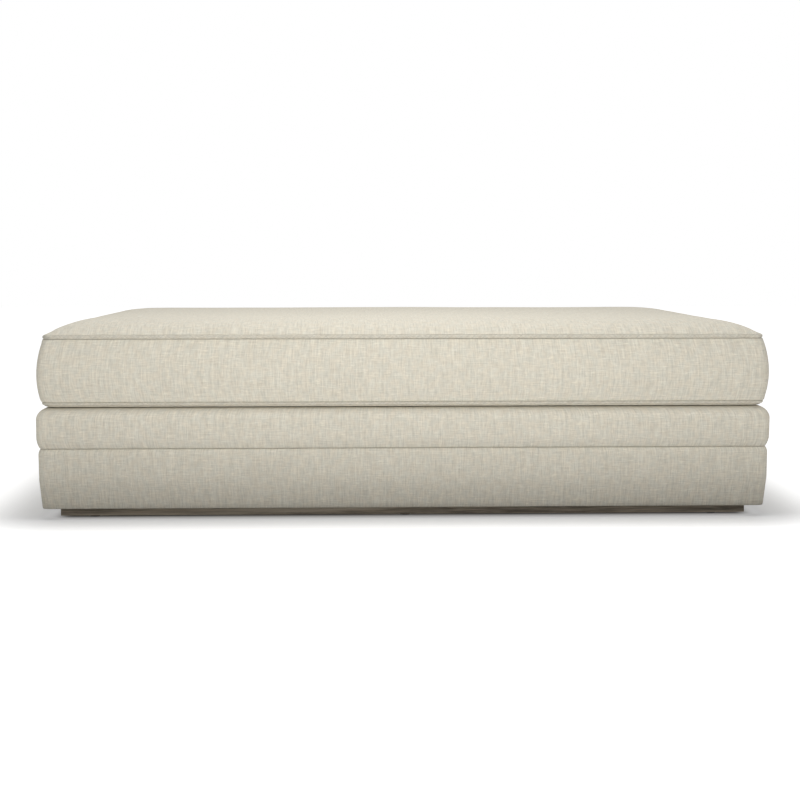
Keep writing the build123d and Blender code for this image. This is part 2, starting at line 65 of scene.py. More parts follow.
eye = bpy.data.cameras.new("eye")
eye.lens = 63.75
eye.sensor_width = 36.0
camera = add_object("eye", eye)
camera.location = (-0.1061, -3.3904, 0.5413)
look_down, look_right = 0.1001, 0.0323
camera.rotation_euler = (math.pi / 2 - look_down, 0.0, -look_right)
bpy.context.scene.camera = camera
bpy.context.scene.view_settings.view_transform = "Standard"
print("camera at", tuple(round(v, 3) for v in camera.location), "lens", eye.lens)

# %% [markdown]
# Materials are graphs of nodes. Two small helpers write them as plain sums. A Value wraps one output of a
# node, and adding or multiplying Values adds the Math nodes. A Bench holds one graph and puts any other
# node on it.

# %% Shader helpers
class Value:
    """One output of a node, which can be used in sums."""

    def __init__(self, bench, socket):
        self.bench = bench
        self.socket = socket

    def math(self, operation, other=0.0):
        return self.bench.make("ShaderNodeMath", {"operation": operation}, {0: self, 1: other})

    def __add__(self, other):
        return self.math("ADD", other)

    def __sub__(self, other):
        return self.math("SUBTRACT", other)

    def __mul__(self, other):
        return self.math("MULTIPLY", other)

    def __pow__(self, other):
        return self.math("POWER", other)

    def __abs__(self):
        return self.math("ABSOLUTE")

    __radd__ = __add__


# The sockets of a Mix node that mixes colours
MIX_SHARE, MIX_FIRST, MIX_SECOND, MIX_RESULT = 0, 6, 7, 2


class Bench:
    """The node graph of one material, world or Geometry Nodes tree."""

    def __init__(self, tree):
        self.tree = tree

    def make(self, kind, settings=None, inputs=None, output=0):
        """A new node, as the Value of one output."""
        node = self.tree.nodes.new(kind)
        for name, setting in (settings or {}).items():
            setattr(node, name, setting)
        for key, value in (inputs or {}).items():
            if isinstance(value, Value):
                self.tree.links.new(value.socket, node.inputs[key])
            else:
                node.inputs[key].default_value = value
        return Value(self, node.outputs[output] if len(node.outputs) else None)

    def object_place(self):
        return self.make("ShaderNodeTexCoord", output="Object")

    def noise(self, place, scale, detail=2.0, roughness=0.5):
        inputs = {"Vector": place, "Scale": scale, "Detail": detail, "Roughness": roughness}
        return self.make("ShaderNodeTexNoise", None, inputs)

    def stretch(self, place, scale, move=(0.0, 0.0, 0.0), turn=(0.0, 0.0, 0.0)):
        inputs = {"Vector": place, "Scale": scale, "Location": move, "Rotation": turn}
        return self.make("ShaderNodeMapping", None, inputs)

    def blend(self, share, first, second):
        settings = {"data_type": "RGBA", "clamp_factor": True}
        inputs = {MIX_SHARE: share, MIX_FIRST: first, MIX_SECOND: second}
        return self.make("ShaderNodeMix", settings, inputs, MIX_RESULT)

    def spread(self, value, low, high, to_low=0.0, to_high=1.0):
        """A smooth step between two values, from one result to another."""
        inputs = {"Value": value, "From Min": low, "From Max": high, "To Min": to_low, "To Max": to_high}
        return self.make("ShaderNodeMapRange", {"interpolation_type": "SMOOTHSTEP"}, inputs)

    def bump(self, height, strength, distance):
        inputs = {"Height": height, "Strength": strength, "Distance": distance}
        return self.make("ShaderNodeBump", None, inputs)


def finish_of(name, **constants):
    """A new material: itself, its bench and its main shader, with the constants set on the shader."""
    material = bpy.data.materials.new(name)
    material.use_nodes = True
    shader = material.node_tree.nodes["Principled BSDF"]
    for socket, value in constants.items():
        shader.inputs[socket.replace("_", " ")].default_value = value
    return material, Bench(material.node_tree), shader


def feed(bench, shader, **links):
    """Link values to the shader's sockets."""
    for socket, value in links.items():
        bench.tree.links.new(value.socket, shader.inputs[socket.replace("_", " ")])


def rgb(red, green, blue):
    return (red, green, blue, 1.0)


print("shader helpers ready")

# %% [markdown]
# The studio is a white floor under a soft sky that is brightest overhead. To the camera the floor shows white,
# with a painted shadow: its glow is turned down close to the footprint, over the real shadow under the skirt.
# To all other rays the floor glows as a painted bounce light, which stands in for the light a floor throws
# back, with painted shade close to the object, where it would shade its own patch of floor. Light Path tells
# the two apart. Seen from below the floor is clear, so that the underside can be looked at.

# %% Floor
floor_half = 12.0
floor_corners = [(x * floor_half, y * floor_half, 0.0) for x, y in ((-1, -1), (1, -1), (1, 1), (-1, 1))]
floor_mesh = bpy.data.meshes.new("floor")
floor_mesh.from_pydata(floor_corners, [], [(0, 1, 2, 3)])
floor = add_object("floor", floor_mesh)

floor_white_painted_shadow = bpy.data.materials.new("floor_white_painted_shadow")
floor_white_painted_shadow.use_nodes = True
floor_white_painted_shadow.node_tree.nodes.clear()
bench = Bench(floor_white_painted_shadow.node_tree)


def seen_rays(bench):
    """One for rays that show a thing: from the camera, or by way of a gloss or a glass."""
    rays = ("Is Camera Ray", "Is Glossy Ray", "Is Transmission Ray")
    camera_ray, gloss, glass = (bench.make("ShaderNodeLightPath", output=ray) for ray in rays)
    return camera_ray + gloss + glass


# Half the size of the footprint round the floor's painted shadow and painted bounce shade. Then for each
# term where it starts and ends, in metres away from there, and its strength at both
footprint = (0.700, 0.420)
painted_contact_shadow, painted_shadow_dip = (0.0, 0.042, 0.0, 0.29), (0.040, 0.066, 0.0, 0.12)
fade_to_white, painted_bounce_shade = (0.08, 0.26, 0.0, 0.45), (0.17, 0.42, 0.06, 1.0)
painted_bounce_strength, painted_bounce_across = 2.33, (0.3, 1.6, 1.0, 0.1)

place = bench.object_place()
off_middle = [abs(bench.make("ShaderNodeSeparateXYZ", None, {0: place}, axis)) for axis in "XY"]
outside = [(off - half).math("MAXIMUM") ** 2 for off, half in zip(off_middle, footprint)]
away = (outside[0] + outside[1]).math("SQRT")
# Painted shadow: to the camera the floor's glow is low at the footprint, dips in a band beside it, and fades up
# to white
floor_glow_with_painted_shadow = bench.spread(away, *painted_contact_shadow) - bench.spread(away, *painted_shadow_dip)
floor_glow_with_painted_shadow = floor_glow_with_painted_shadow + bench.spread(away, *fade_to_white)
# Painted bounce light: to other rays the floor glows, with painted shade near the object and less towards the
# ends
painted_bounce_level = bench.spread(away, *painted_bounce_shade) * bench.spread(off_middle[0], *painted_bounce_across) * painted_bounce_strength
camera_glow = bench.make("ShaderNodeEmission", None, {"Color": rgb(1, 1, 1), "Strength": floor_glow_with_painted_shadow})
camera_matt = bench.make("ShaderNodeBsdfDiffuse", None, {"Color": rgb(0.72, 0.72, 0.72)})
shown = bench.make("ShaderNodeAddShader", None, {0: camera_glow, 1: camera_matt})
painted_bounce_glow = bench.make("ShaderNodeEmission", None, {"Color": rgb(1, 1, 1), "Strength": painted_bounce_level})
surface = bench.make("ShaderNodeMixShader", None, {0: seen_rays(bench), 1: painted_bounce_glow, 2: shown})
from_below = bench.make("ShaderNodeNewGeometry", output="Backfacing")
clear = bench.make("ShaderNodeBsdfTransparent")
surface = bench.make("ShaderNodeMixShader", None, {0: from_below, 1: surface, 2: clear})
bench.make("ShaderNodeOutputMaterial", None, {0: surface})
floor_mesh.materials.append(floor_white_painted_shadow)
print("floor", 2 * floor_half, "m square")

# %% Sky and softbox
sky = bpy.data.worlds.new("studio")
bpy.context.scene.world = sky
sky.use_nodes = True
sky.node_tree.nodes.clear()
bench = Bench(sky.node_tree)
horizon, rise_overhead = 0.41, 0.42
direction = bench.make("ShaderNodeTexCoord", output="Generated")
height = bench.make("ShaderNodeSeparateXYZ", None, {0: direction}, "Z").math("MAXIMUM")
brightness = height * rise_overhead + horizon
soft = bench.make("ShaderNodeBackground", None, {"Color": rgb(1, 1, 1), "Strength": brightness})
white = bench.make("ShaderNodeBackground", None, {"Color": rgb(1, 1, 1), "Strength": 1.0})
surface = bench.make("ShaderNodeMixShader", None, {0: seen_rays(bench), 1: soft, 2: white})
bench.make("ShaderNodeOutputWorld", None, {0: surface})

softbox = bpy.data.lights.new("softbox", "AREA")
softbox.shape = "RECTANGLE"
softbox.size = softbox.size_y = 0.9
softbox.energy = 7.8
lamp = add_object("softbox", softbox)
lamp.location = (0.0, -0.50, 1.5)
lamp.visible_camera = False
print("sky and softbox, energy", softbox.energy)

# %% [markdown]
# Almost every soft piece of this ottoman follows the same plan: a long rectangle with rounded corners. One
# function gives the stations along that plan at any distance inside it. A section drawn once and carried
# round the stations makes the band, the lower cover, the welts and the padding. The run along the plan and
# along the section is kept as the UV map, in metres, so the weave has its real size.

# %% Mesh helpers
SAME_PLACE = 2e-5
SEED_STEP = 7.3


def stations(inset, corner, size, middle=0.0, room=0.012, turns=7):
    """Places round a rounded rectangle an inset inside a size, counter-clockwise from the front left."""
    length, depth = size
    counts = [round(side / room) for side in size]
    half_x = length / 2 - inset - corner
    half_y = depth / 2 - inset - corner
    quarter = np.radians(np.linspace(0, 90, turns + 1))
    places = []
    for side, (x, y) in enumerate(((1, -1), (1, 1), (-1, 1), (-1, -1))):
        start = np.array(((-x, y), (x, -y), (-x, y), (x, -y))[side], float) * (half_x, half_y)
        end = np.array((x, y), float) * (half_x, half_y)
        outward = np.array(((0, -1), (1, 0), (0, 1), (-1, 0))[side], float)
        share = np.linspace(0, 1, counts[side % 2] + 1)[:-1, None]
        places.append(start + (end - start) * share + outward * corner)
        angle = quarter[:-1] + math.radians(90 * side - 90)
        places.append(end + np.stack([np.cos(angle), np.sin(angle)], 1) * corner)
    places = np.concatenate(places)
    places[:, 1] += middle
    return places


def runs(points, closed=True):
    """The distance gone along a row of points, and back to the first where the row is closed."""
    row = np.concatenate([points, points[:1]]) if closed else points
    return np.concatenate([[0], np.cumsum(np.linalg.norm(np.diff(row, axis=0), axis=1))])


def patch(points, along, down, closed=False):
    """A sheet of quads from rows of points, with the distances along and down as its UVs."""
    rows, columns = points.shape[:2]
    spans = columns if closed else columns - 1
    row, column = np.meshgrid(np.arange(rows - 1), np.arange(spans), indexing="ij")
    corners = [(row, column), (row + 1, column), (row + 1, column + 1), (row, column + 1)]
    faces = np.stack([r * columns + c % columns for r, c in corners], -1).reshape(-1, 4)
    down = np.broadcast_to(np.asarray(down, float).reshape(rows, -1), (rows, spans + 1))
    along = np.broadcast_to(along, (rows, spans + 1))
    uvs = np.stack([np.stack([along[r, c], down[r, c]], -1) for r, c in corners], 2).reshape(-1, 2)
    return points.reshape(-1, 3), faces, uvs


def object_from(name, patches):
    """One mesh object from several patches, whose shared edges are merged."""
    points, faces, uvs, first = [], [], [], 0
    for patch_points, patch_faces, patch_uvs in patches:
        points.append(patch_points)
        faces.append(patch_faces + first)
        uvs.append(patch_uvs)
        first += len(patch_points)
    mesh = bpy.data.meshes.new(name)
    mesh.from_pydata(np.concatenate(points), [], np.concatenate(faces).tolist())
    mesh.uv_layers.new(name="cloth").data.foreach_set("uv", np.concatenate(uvs).ravel())
    shape = bmesh.new()
    shape.from_mesh(mesh)
    bmesh.ops.remove_doubles(shape, verts=shape.verts, dist=SAME_PLACE)
    shape.to_mesh(mesh)
    shape.free()
    mesh.shade_smooth()
    return add_object(name, mesh)


def places_of(made, attribute="co"):
    """The vertices of a mesh as an array: their places, or the directions that they face."""
    values = np.empty(len(made.data.vertices) * 3, np.float32)
    made.data.vertices.foreach_get(attribute, values)
    return values.reshape(-1, 3).astype(float)


def normals_of(made):
    return places_of(made, "normal")


def set_places(made, points):
    made.data.vertices.foreach_set("co", points.astype(np.float32).ravel())
    made.data.update()


def swell(made, heights):
    """Move each vertex outwards by its height."""
    set_places(made, places_of(made) + normals_of(made) * heights[:, None])


def ripples(points, size, seed):
    """Smooth noise from about -1 to 1 at each point, with waves of about that size in metres."""
    size = np.broadcast_to(size, 3)
    return np.array([noise.noise(Vector(p)) for p in points / size + seed * SEED_STEP])


def ring(name, section, corner, size, middle=0.0, closed=False, room=0.012):
    """A section carried round the plan, from its top down. Each point has an inset and a level, and its own
    corner radius where that differs."""
    rows = []
    for inset, level, *own in section:
        places = stations(inset, own[0] if own else corner, size, middle, room)
        rows.append(np.column_stack([places, np.full(len(places), level)]))
    along = runs(stations(0.0, corner, size, middle, room))
    down = runs(np.array([point[:2] for point in section]), closed)
    if closed:
        rows.append(rows[0])
    return object_from(name, [patch(np.array(rows), along, -down, True)])


def arc(centre, radius, start, end, steps):
    """Points of a section on an arc; angles in degrees, from outward to up."""
    angles = np.radians(np.linspace(start, end, steps + 1))
    return [(centre[0] - radius * math.cos(a), centre[1] + radius * math.sin(a)) for a in angles]


def thicken(made, thickness):
    """Give a sheet its thickness, inwards from its face."""
    wall = made.modifiers.new("cloth", "SOLIDIFY")
    wall.thickness = thickness
    wall.offset = -1.0


def settle(made, body, finish, stands_for=()):
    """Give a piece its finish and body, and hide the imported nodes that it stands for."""
    made.data.materials.clear()
    made.data.materials.append(finish)
    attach(made, body)
    if stands_for:
        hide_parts(*stands_for)
    print(made.name, len(made.data.polygons), "faces on", body)


print("mesh helpers ready")

# %% [markdown]
# The cover is a slubby linen weave in a warm oat colour. Seen from three metres the single threads vanish,
# and what stays is their unevenness: thick places in the upright threads, fewer in the crossing ones, and
# faint patches where the yarn was dyed a little warmer or cooler. Each of these is one stretched noise on
# the UV map. The same linen cut on the bias covers the welts, its colours darkened as painted shade for the
# shade that the welts lie in.

# %% Linen
linen_shades = (
    (0.783, 0.748, 0.638), (0.808, 0.754, 0.626), (0.535, 0.505, 0.422), (0.560, 0.510, 0.414),
    (0.66, 0.61, 0.51),
)
# Each noise's scale per metre across and along the threads, its offset, its detail and its roughness
linen_noises = {
    "upright": ((430.0, 48.0, 1.0), (0.0, 0.0, 0.0), 2.0, 0.6),
    "upright_long": ((260.0, 14.0, 1.0), (3.0, 7.0, 0.0), 1.0, 0.5),
    "crossing": ((40.0, 400.0, 1.0), (9.0, 1.0, 0.0), 2.0, 0.6),
    "slubs": ((60.0, 240.0, 1.0), (2.0, 6.0, 0.0), 1.0, 0.5),
    "patches": ((70.0, 55.0, 1.0), (5.0, 5.0, 0.0), 2.0, 0.5),
}
weave_scale = 290.0


def linen_finish(name, slant=0.0, painted_shade_factor=1.0):
    """Linen with its threads turned by a slant, and its colours darkened by a factor that paints shade."""
    material, bench, shader = finish_of(
        name, Roughness=0.93, Sheen_Weight=0.18, Sheen_Roughness=0.6, Specular_IOR_Level=0.2
    )
    # A factor below one paints shade into every colour of the linen
    shades = [rgb(*(part * painted_shade_factor for part in shade)) for shade in linen_shades]
    cloth = bench.make("ShaderNodeUVMap", {"uv_map": "cloth"})
    place = bench.stretch(cloth, (1.0, 1.0, 1.0), turn=(0.0, 0.0, slant))
    upright, upright_long, crossing, slubs, patches = (
        bench.noise(bench.stretch(place, scale, move), 1.0, detail, roughness)
        for scale, move, detail, roughness in linen_noises.values()
    )
    clouds = bench.noise(place, 7.0, 2.0)
    fine = bench.noise(place, 1500.0, 1.0)
    shade = 0.5 + (upright - 0.5) * 1.3 + (upright_long - 0.5) * 0.75 + (crossing - 0.5) * 1.15
    shade = shade + (fine - 0.5) * 0.4 + bench.spread(slubs, 0.60, 0.72) * 0.28
    warmth = bench.spread(patches, 0.35, 0.65)
    tint = bench.blend(warmth, shades[0], shades[1])
    deep = bench.blend(warmth, shades[2], shades[3])
    pale = bench.blend(shade, deep, tint)
    pale = bench.blend(bench.spread(clouds, 0.3, 0.7) * 0.06, pale, shades[4])
    wave = {"Vector": place, "Scale": weave_scale}
    warp, weft = (
        bench.make("ShaderNodeTexWave", {"wave_profile": "SIN", "bands_direction": axis}, wave, "Fac")
        for axis in "XY"
    )
    relief = warp * weft * 0.5 + upright * 0.9 + crossing * 0.6
    feed(bench, shader, Base_Color=pale, Normal=bench.bump(relief, 0.35, 0.0012))
    return material


linen = linen_finish("oat_linen")
print("linen with", len(linen.node_tree.nodes), "nodes")

# %% [markdown]
# The loose cushion is the main soft form. Its cover is sewn from a top panel, an underside and a strip
# between them, and the filling swells it: the top is crowned, and the strip bulges between the two seams.
# At each seam the section folds in round the cord that is sewn there. The mesh starts from the packed
# sizes, slightly slack, and a short cloth simulation with air pressure then fills it, while the seams and
# the resting side stay put. How far a point may move is capped, so the cushion keeps its measured size.

# %% Cushion form
SIZE = (1.524, 0.959)
MIDDLE = -0.003
CORNER = 0.020
CORD, CORD_SINK = 0.0045, 0.0033
RESTING, LOWER_SEAM, UPPER_SEAM = 0.2333, 0.2415, 0.3785
CROWN_RISE, CROWN_SHOULDER = 0.0335, 0.028
LOWER_DRAW, UPPER_DRAW = 0.0088, 0.014
# The cloth's room round a cord, how far the boxing's rows stay from the seams, and how far the seam is held
CORD_ROOM, FOLD_REACH, HELD_REACH = 0.0004, 0.011, 0.0066
ZIP_LEVEL = 0.30041
ZIP_HALF = 0.702
BACK_FACE, NEAR_BACK = 0.4765, 0.44


def grid_lines(half, corner, room):
    """Coordinates across a panel, with four steps across each rounded corner, the first close to the edge."""
    inner = np.linspace(-half + corner, half - corner, round((2 * half - 2 * corner) / room) + 1)
    edge = corner * np.array((0, 0.08, 0.36, 0.68))
    return np.concatenate([-half + edge, inner, half - edge[::-1]])


def plan(a, b, inset, half, corner):
    """Move points of a square-cornered plan inside by an inset, and round its corners."""
    half_x, half_y = half[0] - inset, half[1] - inset
    x, y = a * half_x / half[0], b * half_y / half[1]
    s = np.clip((np.abs(x) - half_x + corner) / corner, 0, 1)
    t = np.clip((np.abs(y) - half_y + corner) / corner, 0, 1)
    round_x = np.sign(x) * (half_x - corner + corner * s * np.sqrt(1 - t * t / 2))
    round_y = np.sign(y) * (half_y - corner + corner * t * np.sqrt(1 - s * s / 2))
    turning = (s > 0) & (t > 0)
    return np.where(turning, round_x, x), np.where(turning, round_y, y)


def block(rows, top, bottom, size=SIZE, middle=MIDDLE, corner=CORNER, room=0.013):
    """Patches of a closed block: its top and underside as functions of the distances from the edges, and its
    sides as rows of insets and levels, from the top seam down."""
    half = (size[0] / 2, size[1] / 2)
    a, b = grid_lines(half[0], corner, room), grid_lines(half[1], corner, room)
    edge = [(x, -half[1]) for x in a[:-1]] + [(half[0], y) for y in b[:-1]]
    edge += [(x, half[1]) for x in a[:0:-1]] + [(-half[0], y) for y in b[:0:-1]]
    edge = np.array(edge)
    sides = []
    for inset, level in rows:
        x, y = plan(edge[:, 0], edge[:, 1], inset, half, corner)
        sides.append(np.column_stack([x, y + middle, np.full(len(x), level)]))
    sides = np.array(sides)
    down = runs(np.array(rows), False)
    made = [patch(sides, runs(sides[len(rows) // 2]), -down, True)]
    across, deep = np.meshgrid(a, b)
    for (inset, level), surface, turned in ((rows[0], top, True), (rows[-1], bottom, False)):
        x, y = plan(across, deep, inset, half, corner)
        from_x = (half[0] - inset) * (1 - np.abs(across) / half[0])
        from_y = (half[1] - inset) * (1 - np.abs(deep) / half[1])
        points = np.stack([x, y + middle, surface(from_x, from_y) + 0 * x], -1)
        along, back = a, b.copy()
        if turned:
            points, back = points[::-1], back[::-1]
        made.append(patch(points, along, back))
    return made


def dome(from_x, from_y, foot, top, shoulder):
    """The level of a swollen panel that rises, or falls, from its foot at the edge to its flat middle."""
    shares = [1 - np.exp(-d / shoulder) for d in (from_x, from_y)]
    return foot + (top - foot) * shares[0] * shares[1]


def boxing_rows(count, skin=0.0, low=LOWER_SEAM, high=UPPER_SEAM):
    """Insets and levels of the boxing from the upper level down."""
    rows = []
    for level in np.linspace(high, low, count + 1):
        seam, draw = (UPPER_SEAM, UPPER_DRAW) if level > ZIP_LEVEL else (LOWER_SEAM, LOWER_DRAW)
        rows.append((draw * ((level - ZIP_LEVEL) / (seam - ZIP_LEVEL)) ** 2 + skin, level))
    return rows


upper_cord = (UPPER_DRAW + CORD_SINK, UPPER_SEAM)
lower_cord = (LOWER_DRAW + CORD_SINK, LOWER_SEAM)
upper_fold = arc(upper_cord, CORD + CORD_ROOM, 70, 322, 9)
lower_fold = arc(lower_cord, CORD + CORD_ROOM, 42, 250, 8)
CROWN_FOOT, UNDER_FOOT = upper_fold[0][1], lower_fold[-1][1]
TOP = UPPER_SEAM + CROWN_RISE
UNDER_SHOULDER = 0.0070

boxing = boxing_rows(9, 0.0, LOWER_SEAM + FOLD_REACH, UPPER_SEAM - FOLD_REACH)
cover = object_from(
    "cushion_cover",
    block(
        upper_fold + boxing + lower_fold,
        lambda x, y: dome(x, y, CROWN_FOOT, TOP, CROWN_SHOULDER),
        lambda x, y: dome(x, y, UNDER_FOOT, RESTING, UNDER_SHOULDER),
    ),
)
print("cushion cover before filling:", len(cover.data.polygons), "quads")

# %% Cushion filling
CLOTH_STEPS = 20


def from_cord(points, cord):
    """How far points lie from the middle of a seam's cord."""
    path = stations(cord[0], CORNER - CORD_SINK, SIZE, MIDDLE, 0.004)
    tree = kdtree.KDTree(len(path))
    for number, (x, y) in enumerate(path):
        tree.insert((x, y, cord[1]), number)
    tree.balance()
    return np.array([tree.find(point)[2] for point in points])


def fill_cushion(made, cap, slack):
    """Slacken the cover by the cap, let air pressure fill it, and hold every point within the cap. Where the
    filling does not reach, the cloth stays at most the slack inside its measured shape."""
    target, outward = places_of(made), normals_of(made)
    to_cord = np.minimum(from_cord(target, upper_cord), from_cord(target, lower_cord))
    held = (target[:, 2] < LOWER_SEAM) | (to_cord < HELD_REACH)
    start = np.where(held[:, None], target, target - outward * cap)
    set_places(made, start)
    pins = made.vertex_groups.new(name="held")
    pins.add(np.flatnonzero(held).tolist(), 1.0, "REPLACE")
    cloth = made.modifiers.new("filling", "CLOTH")
    settings = cloth.settings
    settings.quality = 6
    settings.mass = 0.3
    settings.tension_stiffness = settings.compression_stiffness = 20.0
    settings.shear_stiffness = 8.0
    settings.bending_stiffness = 0.5
    settings.use_pressure = True
    settings.uniform_pressure_force = 4.0
    settings.vertex_group_mass = "held"
    settings.effector_weights.gravity = 0.0
    cloth.collision_settings.use_collision = False
    for step in range(1, CLOTH_STEPS + 1):
        bpy.context.scene.frame_set(step)
    evaluated = made.evaluated_get(bpy.context.evaluated_depsgraph_get())
    filled = np.array([v.co for v in evaluated.data.vertices], float)
    made.modifiers.remove(cloth)
    made.vertex_groups.remove(pins)
    bpy.context.scene.frame_set(1)
    moved = filled - start
    far = np.linalg.norm(moved, axis=1)
    print("filling moved points by", round(far.mean() * 1000, 2), "mm on average, capped at", cap * 1000, "mm")
    filled = start + moved * np.minimum(1, cap / np.maximum(far, 1e-9))[:, None]
    short = ((filled - target) * outward).sum(1)
    set_places(made, filled + outward * (slack * np.tanh(short / slack) - short)[:, None])


fill_cushion(cover, cap=0.006, slack=0.0008)

# %% [markdown]
# A subdivision smooths the facets. After it comes the small unevenness of sewn cloth: slow waves over the
# panels, and short puckers that run out from each seam where the stitches draw the cloth in. The slot for
# the zipper is cut last, because a fold this narrow would not survive the steps before it.

# %% Cushion surface
def bake(made):
    """Replace the mesh by what its modifiers make of it, and drop them."""
    graph = bpy.context.evaluated_depsgraph_get()
    evaluated = made.evaluated_get(graph)
    mesh = bpy.data.meshes.new_from_object(evaluated, preserve_all_data_layers=True, depsgraph=graph)
    made.modifiers.clear()
    old = made.data
    made.data = mesh
    bpy.data.meshes.remove(old)
    made.data.shade_smooth()


smooth = cover.modifiers.new("smooth", "SUBSURF")
smooth.levels = smooth.render_levels = 1
bake(cover)
print("cushion cover smoothed:", len(cover.data.polygons), "quads")

# Heights of the slow waves, the finer ones and the puckers, the depth of the whole, and the calm at the zipper
SLOW, FINER, PUCKER, SUNK, ZIP_CALM = 0.0016, 0.0007, 0.0009, 0.0003, 0.8
points = places_of(cover)
to_seam = np.minimum(from_cord(points, upper_cord), from_cord(points, lower_cord)) - 0.006
free = np.clip((points[:, 2] - LOWER_SEAM) / 0.01, 0, 1) * np.clip(to_seam / 0.008, 0, 1)
slow = ripples(points, (0.30, 0.30, 0.11), 1) * SLOW + ripples(points, (0.11, 0.11, 0.06), 2) * FINER
pucker = ripples(points, (0.020, 0.020, 0.050), 3) * PUCKER * np.exp(-np.maximum(to_seam, 0) / 0.016)
zip_near = np.exp(-np.abs(points[:, 2] - ZIP_LEVEL) / 0.014) * (points[:, 1] > NEAR_BACK)
points += normals_of(cover) * ((slow + pucker - SUNK) * free * (1 - ZIP_CALM * zip_near))[:, None]
points[:, 1] = np.minimum(points[:, 1], BACK_FACE - 0.0002)
set_places(cover, points)

slot_half, slot_rim, slot_depth = 0.0041, 0.0052, 0.0052


def beside_zip(face):
    """Whether a face of the cover is at the back, near the zipper."""
    middle = face.calc_center_median()
    return middle.y > NEAR_BACK and abs(middle.z - ZIP_LEVEL) < 0.02


shape = bmesh.new()
shape.from_mesh(cover.data)
cuts = [((0, 0, ZIP_LEVEL + lift), (0, 0, 1)) for lift in (-slot_rim, -slot_half, slot_half, slot_rim)]
cuts += [((side * ZIP_HALF, 0, 0), (1, 0, 0)) for side in (-1, 1)]
for through, facing in cuts:
    back = [face for face in shape.faces if beside_zip(face)]
    around = {e for f in back for e in f.edges} | {v for f in back for v in f.verts}
    bmesh.ops.bisect_plane(shape, geom=back + list(around), dist=1e-6, plane_co=through, plane_no=facing)
for vertex in shape.verts:
    x, y, z = vertex.co
    if y > NEAR_BACK and abs(x) < ZIP_HALF + 1e-5 and abs(z - ZIP_LEVEL) < slot_half + 1e-5:
        vertex.co.y = BACK_FACE - slot_depth
shape.to_mesh(cover.data)
shape.free()
cover.data.shade_smooth()

panels = ("cushion_top_panel", "cushion_bottom_panel", "boxing_strip", "boxing_back_upper", "boxing_back_lower")
settle(cover, "cushion", linen, panels)

# %% [markdown]
# A welt is a cord covered with the same linen, sewn into the seam between two panels. It lies sunk between
# their edges, and the two thin lines of shade beside it draw the cushion's edge. Its strip is cut on the
# bias, and its colour is darkened as painted shade, for the shade that it lies in between the panels.

# %% Welts
def cord_section(cord, radius, corner, sides=12):
    """A round section, clockwise seen along the plan so that its faces point outwards."""
    angles = np.linspace(0, 2 * math.pi, sides, endpoint=False)
    turn = [(radius * math.cos(a), radius * math.sin(a)) for a in angles]
    return [(cord[0] + inward, cord[1] + up, corner - inward) for inward, up in turn]


# The bias linen is darkened to 0.87 of the cover's colour: painted shade
bias_linen_painted_shade = linen_finish("oat_linen_bias_painted_shade", math.radians(45), 0.87)
# How far each cord lies further in and up than its seam's middle, and its radius
welts = {
    "upper_welt": (upper_cord, 0.0004, 0.0004, CORD + 0.0001),
    "lower_welt": (lower_cord, 0.0020, 0.0010, CORD - 0.0003),
}
for name, (cord, sunk, lift, radius) in welts.items():
    section = cord_section((cord[0] + sunk, cord[1] + lift), radius, CORNER - CORD_SINK)
    welt = ring(f"{name}_cord", section, CORNER, SIZE, MIDDLE, True, 0.009)
    swell(welt, ripples(places_of(welt), 0.05, 5) * 0.0003)
    settle(welt, "cushion", bias_linen_painted_shade, (name,))

# %% [markdown]
# The base is covered in two parts that meet in a creased seam: a border band that rolls over a soft foam
# edge, and a taller part below it that draws in a little towards the foot and is turned under there.

# %% Base covers
BASE = (1.524, 0.965)
BASE_CORNER, SQUARE = 0.014, 0.002
DECK, SEAM, FOOT = 0.2330, 0.1485, 0.0235
BORDER_REACH, SHOULDER, BAND_FACE = 0.090, 0.024, (0.201, 0.180)
LOWER_INSET, FOOT_DRAW, TAPER_TOP = 0.003, 0.005, 0.0835
LINEN_THICKNESS, DECK_CLOTH_THICKNESS, DUST_COVER_THICKNESS, TAPE_THICKNESS = 0.0012, 0.0010, 0.0005, 0.0005
BAND_CREASE, LOWER_CREASE = (0.0060, 0.024), (0.0036, 0.012)
crease_shares = (1.0, 0.75, 0.52, 0.34, 0.2, 0.1)
taper_shares = (0.2, 0.4, 0.6, 0.8, 0.97)
# Where the cloth goes into the creased seam from above and from below, and is turned under at the foot: insets,
# and heights above the seam or the foot
band_tuck = ((BAND_CREASE[0], 0.0009), (BAND_CREASE[0] + 0.0030, 0.0006))
lower_tuck = ((0.0098, 0.0004), (LOWER_INSET + LOWER_CREASE[0], 0.0001))
foot_hem = ((0.0085, 0.0003), (0.0098, 0.0), (0.024, 0.0), (0.038, 0.0))

band_section = [(x, DECK) for x in np.linspace(BORDER_REACH, 0.034, 5)]
band_section += arc((SHOULDER, DECK - SHOULDER), SHOULDER, 90, 0, 9)
band_section += [(0.0, z) for z in np.linspace(*BAND_FACE, 3)]
band_section += [(BAND_CREASE[0] * (1 - s) ** 2, SEAM + BAND_CREASE[1] * s) for s in crease_shares]
band_section += [(inset, SEAM + lift) for inset, lift in band_tuck]

draw, reach = LOWER_CREASE
lower_section = [(inset, SEAM + lift) for inset, lift in lower_tuck]
lower_section += [(LOWER_INSET + draw * (1 - s) ** 2, SEAM - reach * s) for s in crease_shares[::-1]]
lower_section += [(LOWER_INSET, z) for z in np.linspace(0.126, TAPER_TOP, 5)]
lower_section += [(LOWER_INSET + FOOT_DRAW * s, TAPER_TOP - (TAPER_TOP - FOOT) * s) for s in taper_shares]
lower_section += [(inset, FOOT + lift) for inset, lift in foot_hem]

WAVES, GATHERS = 0.0010, 0.0008


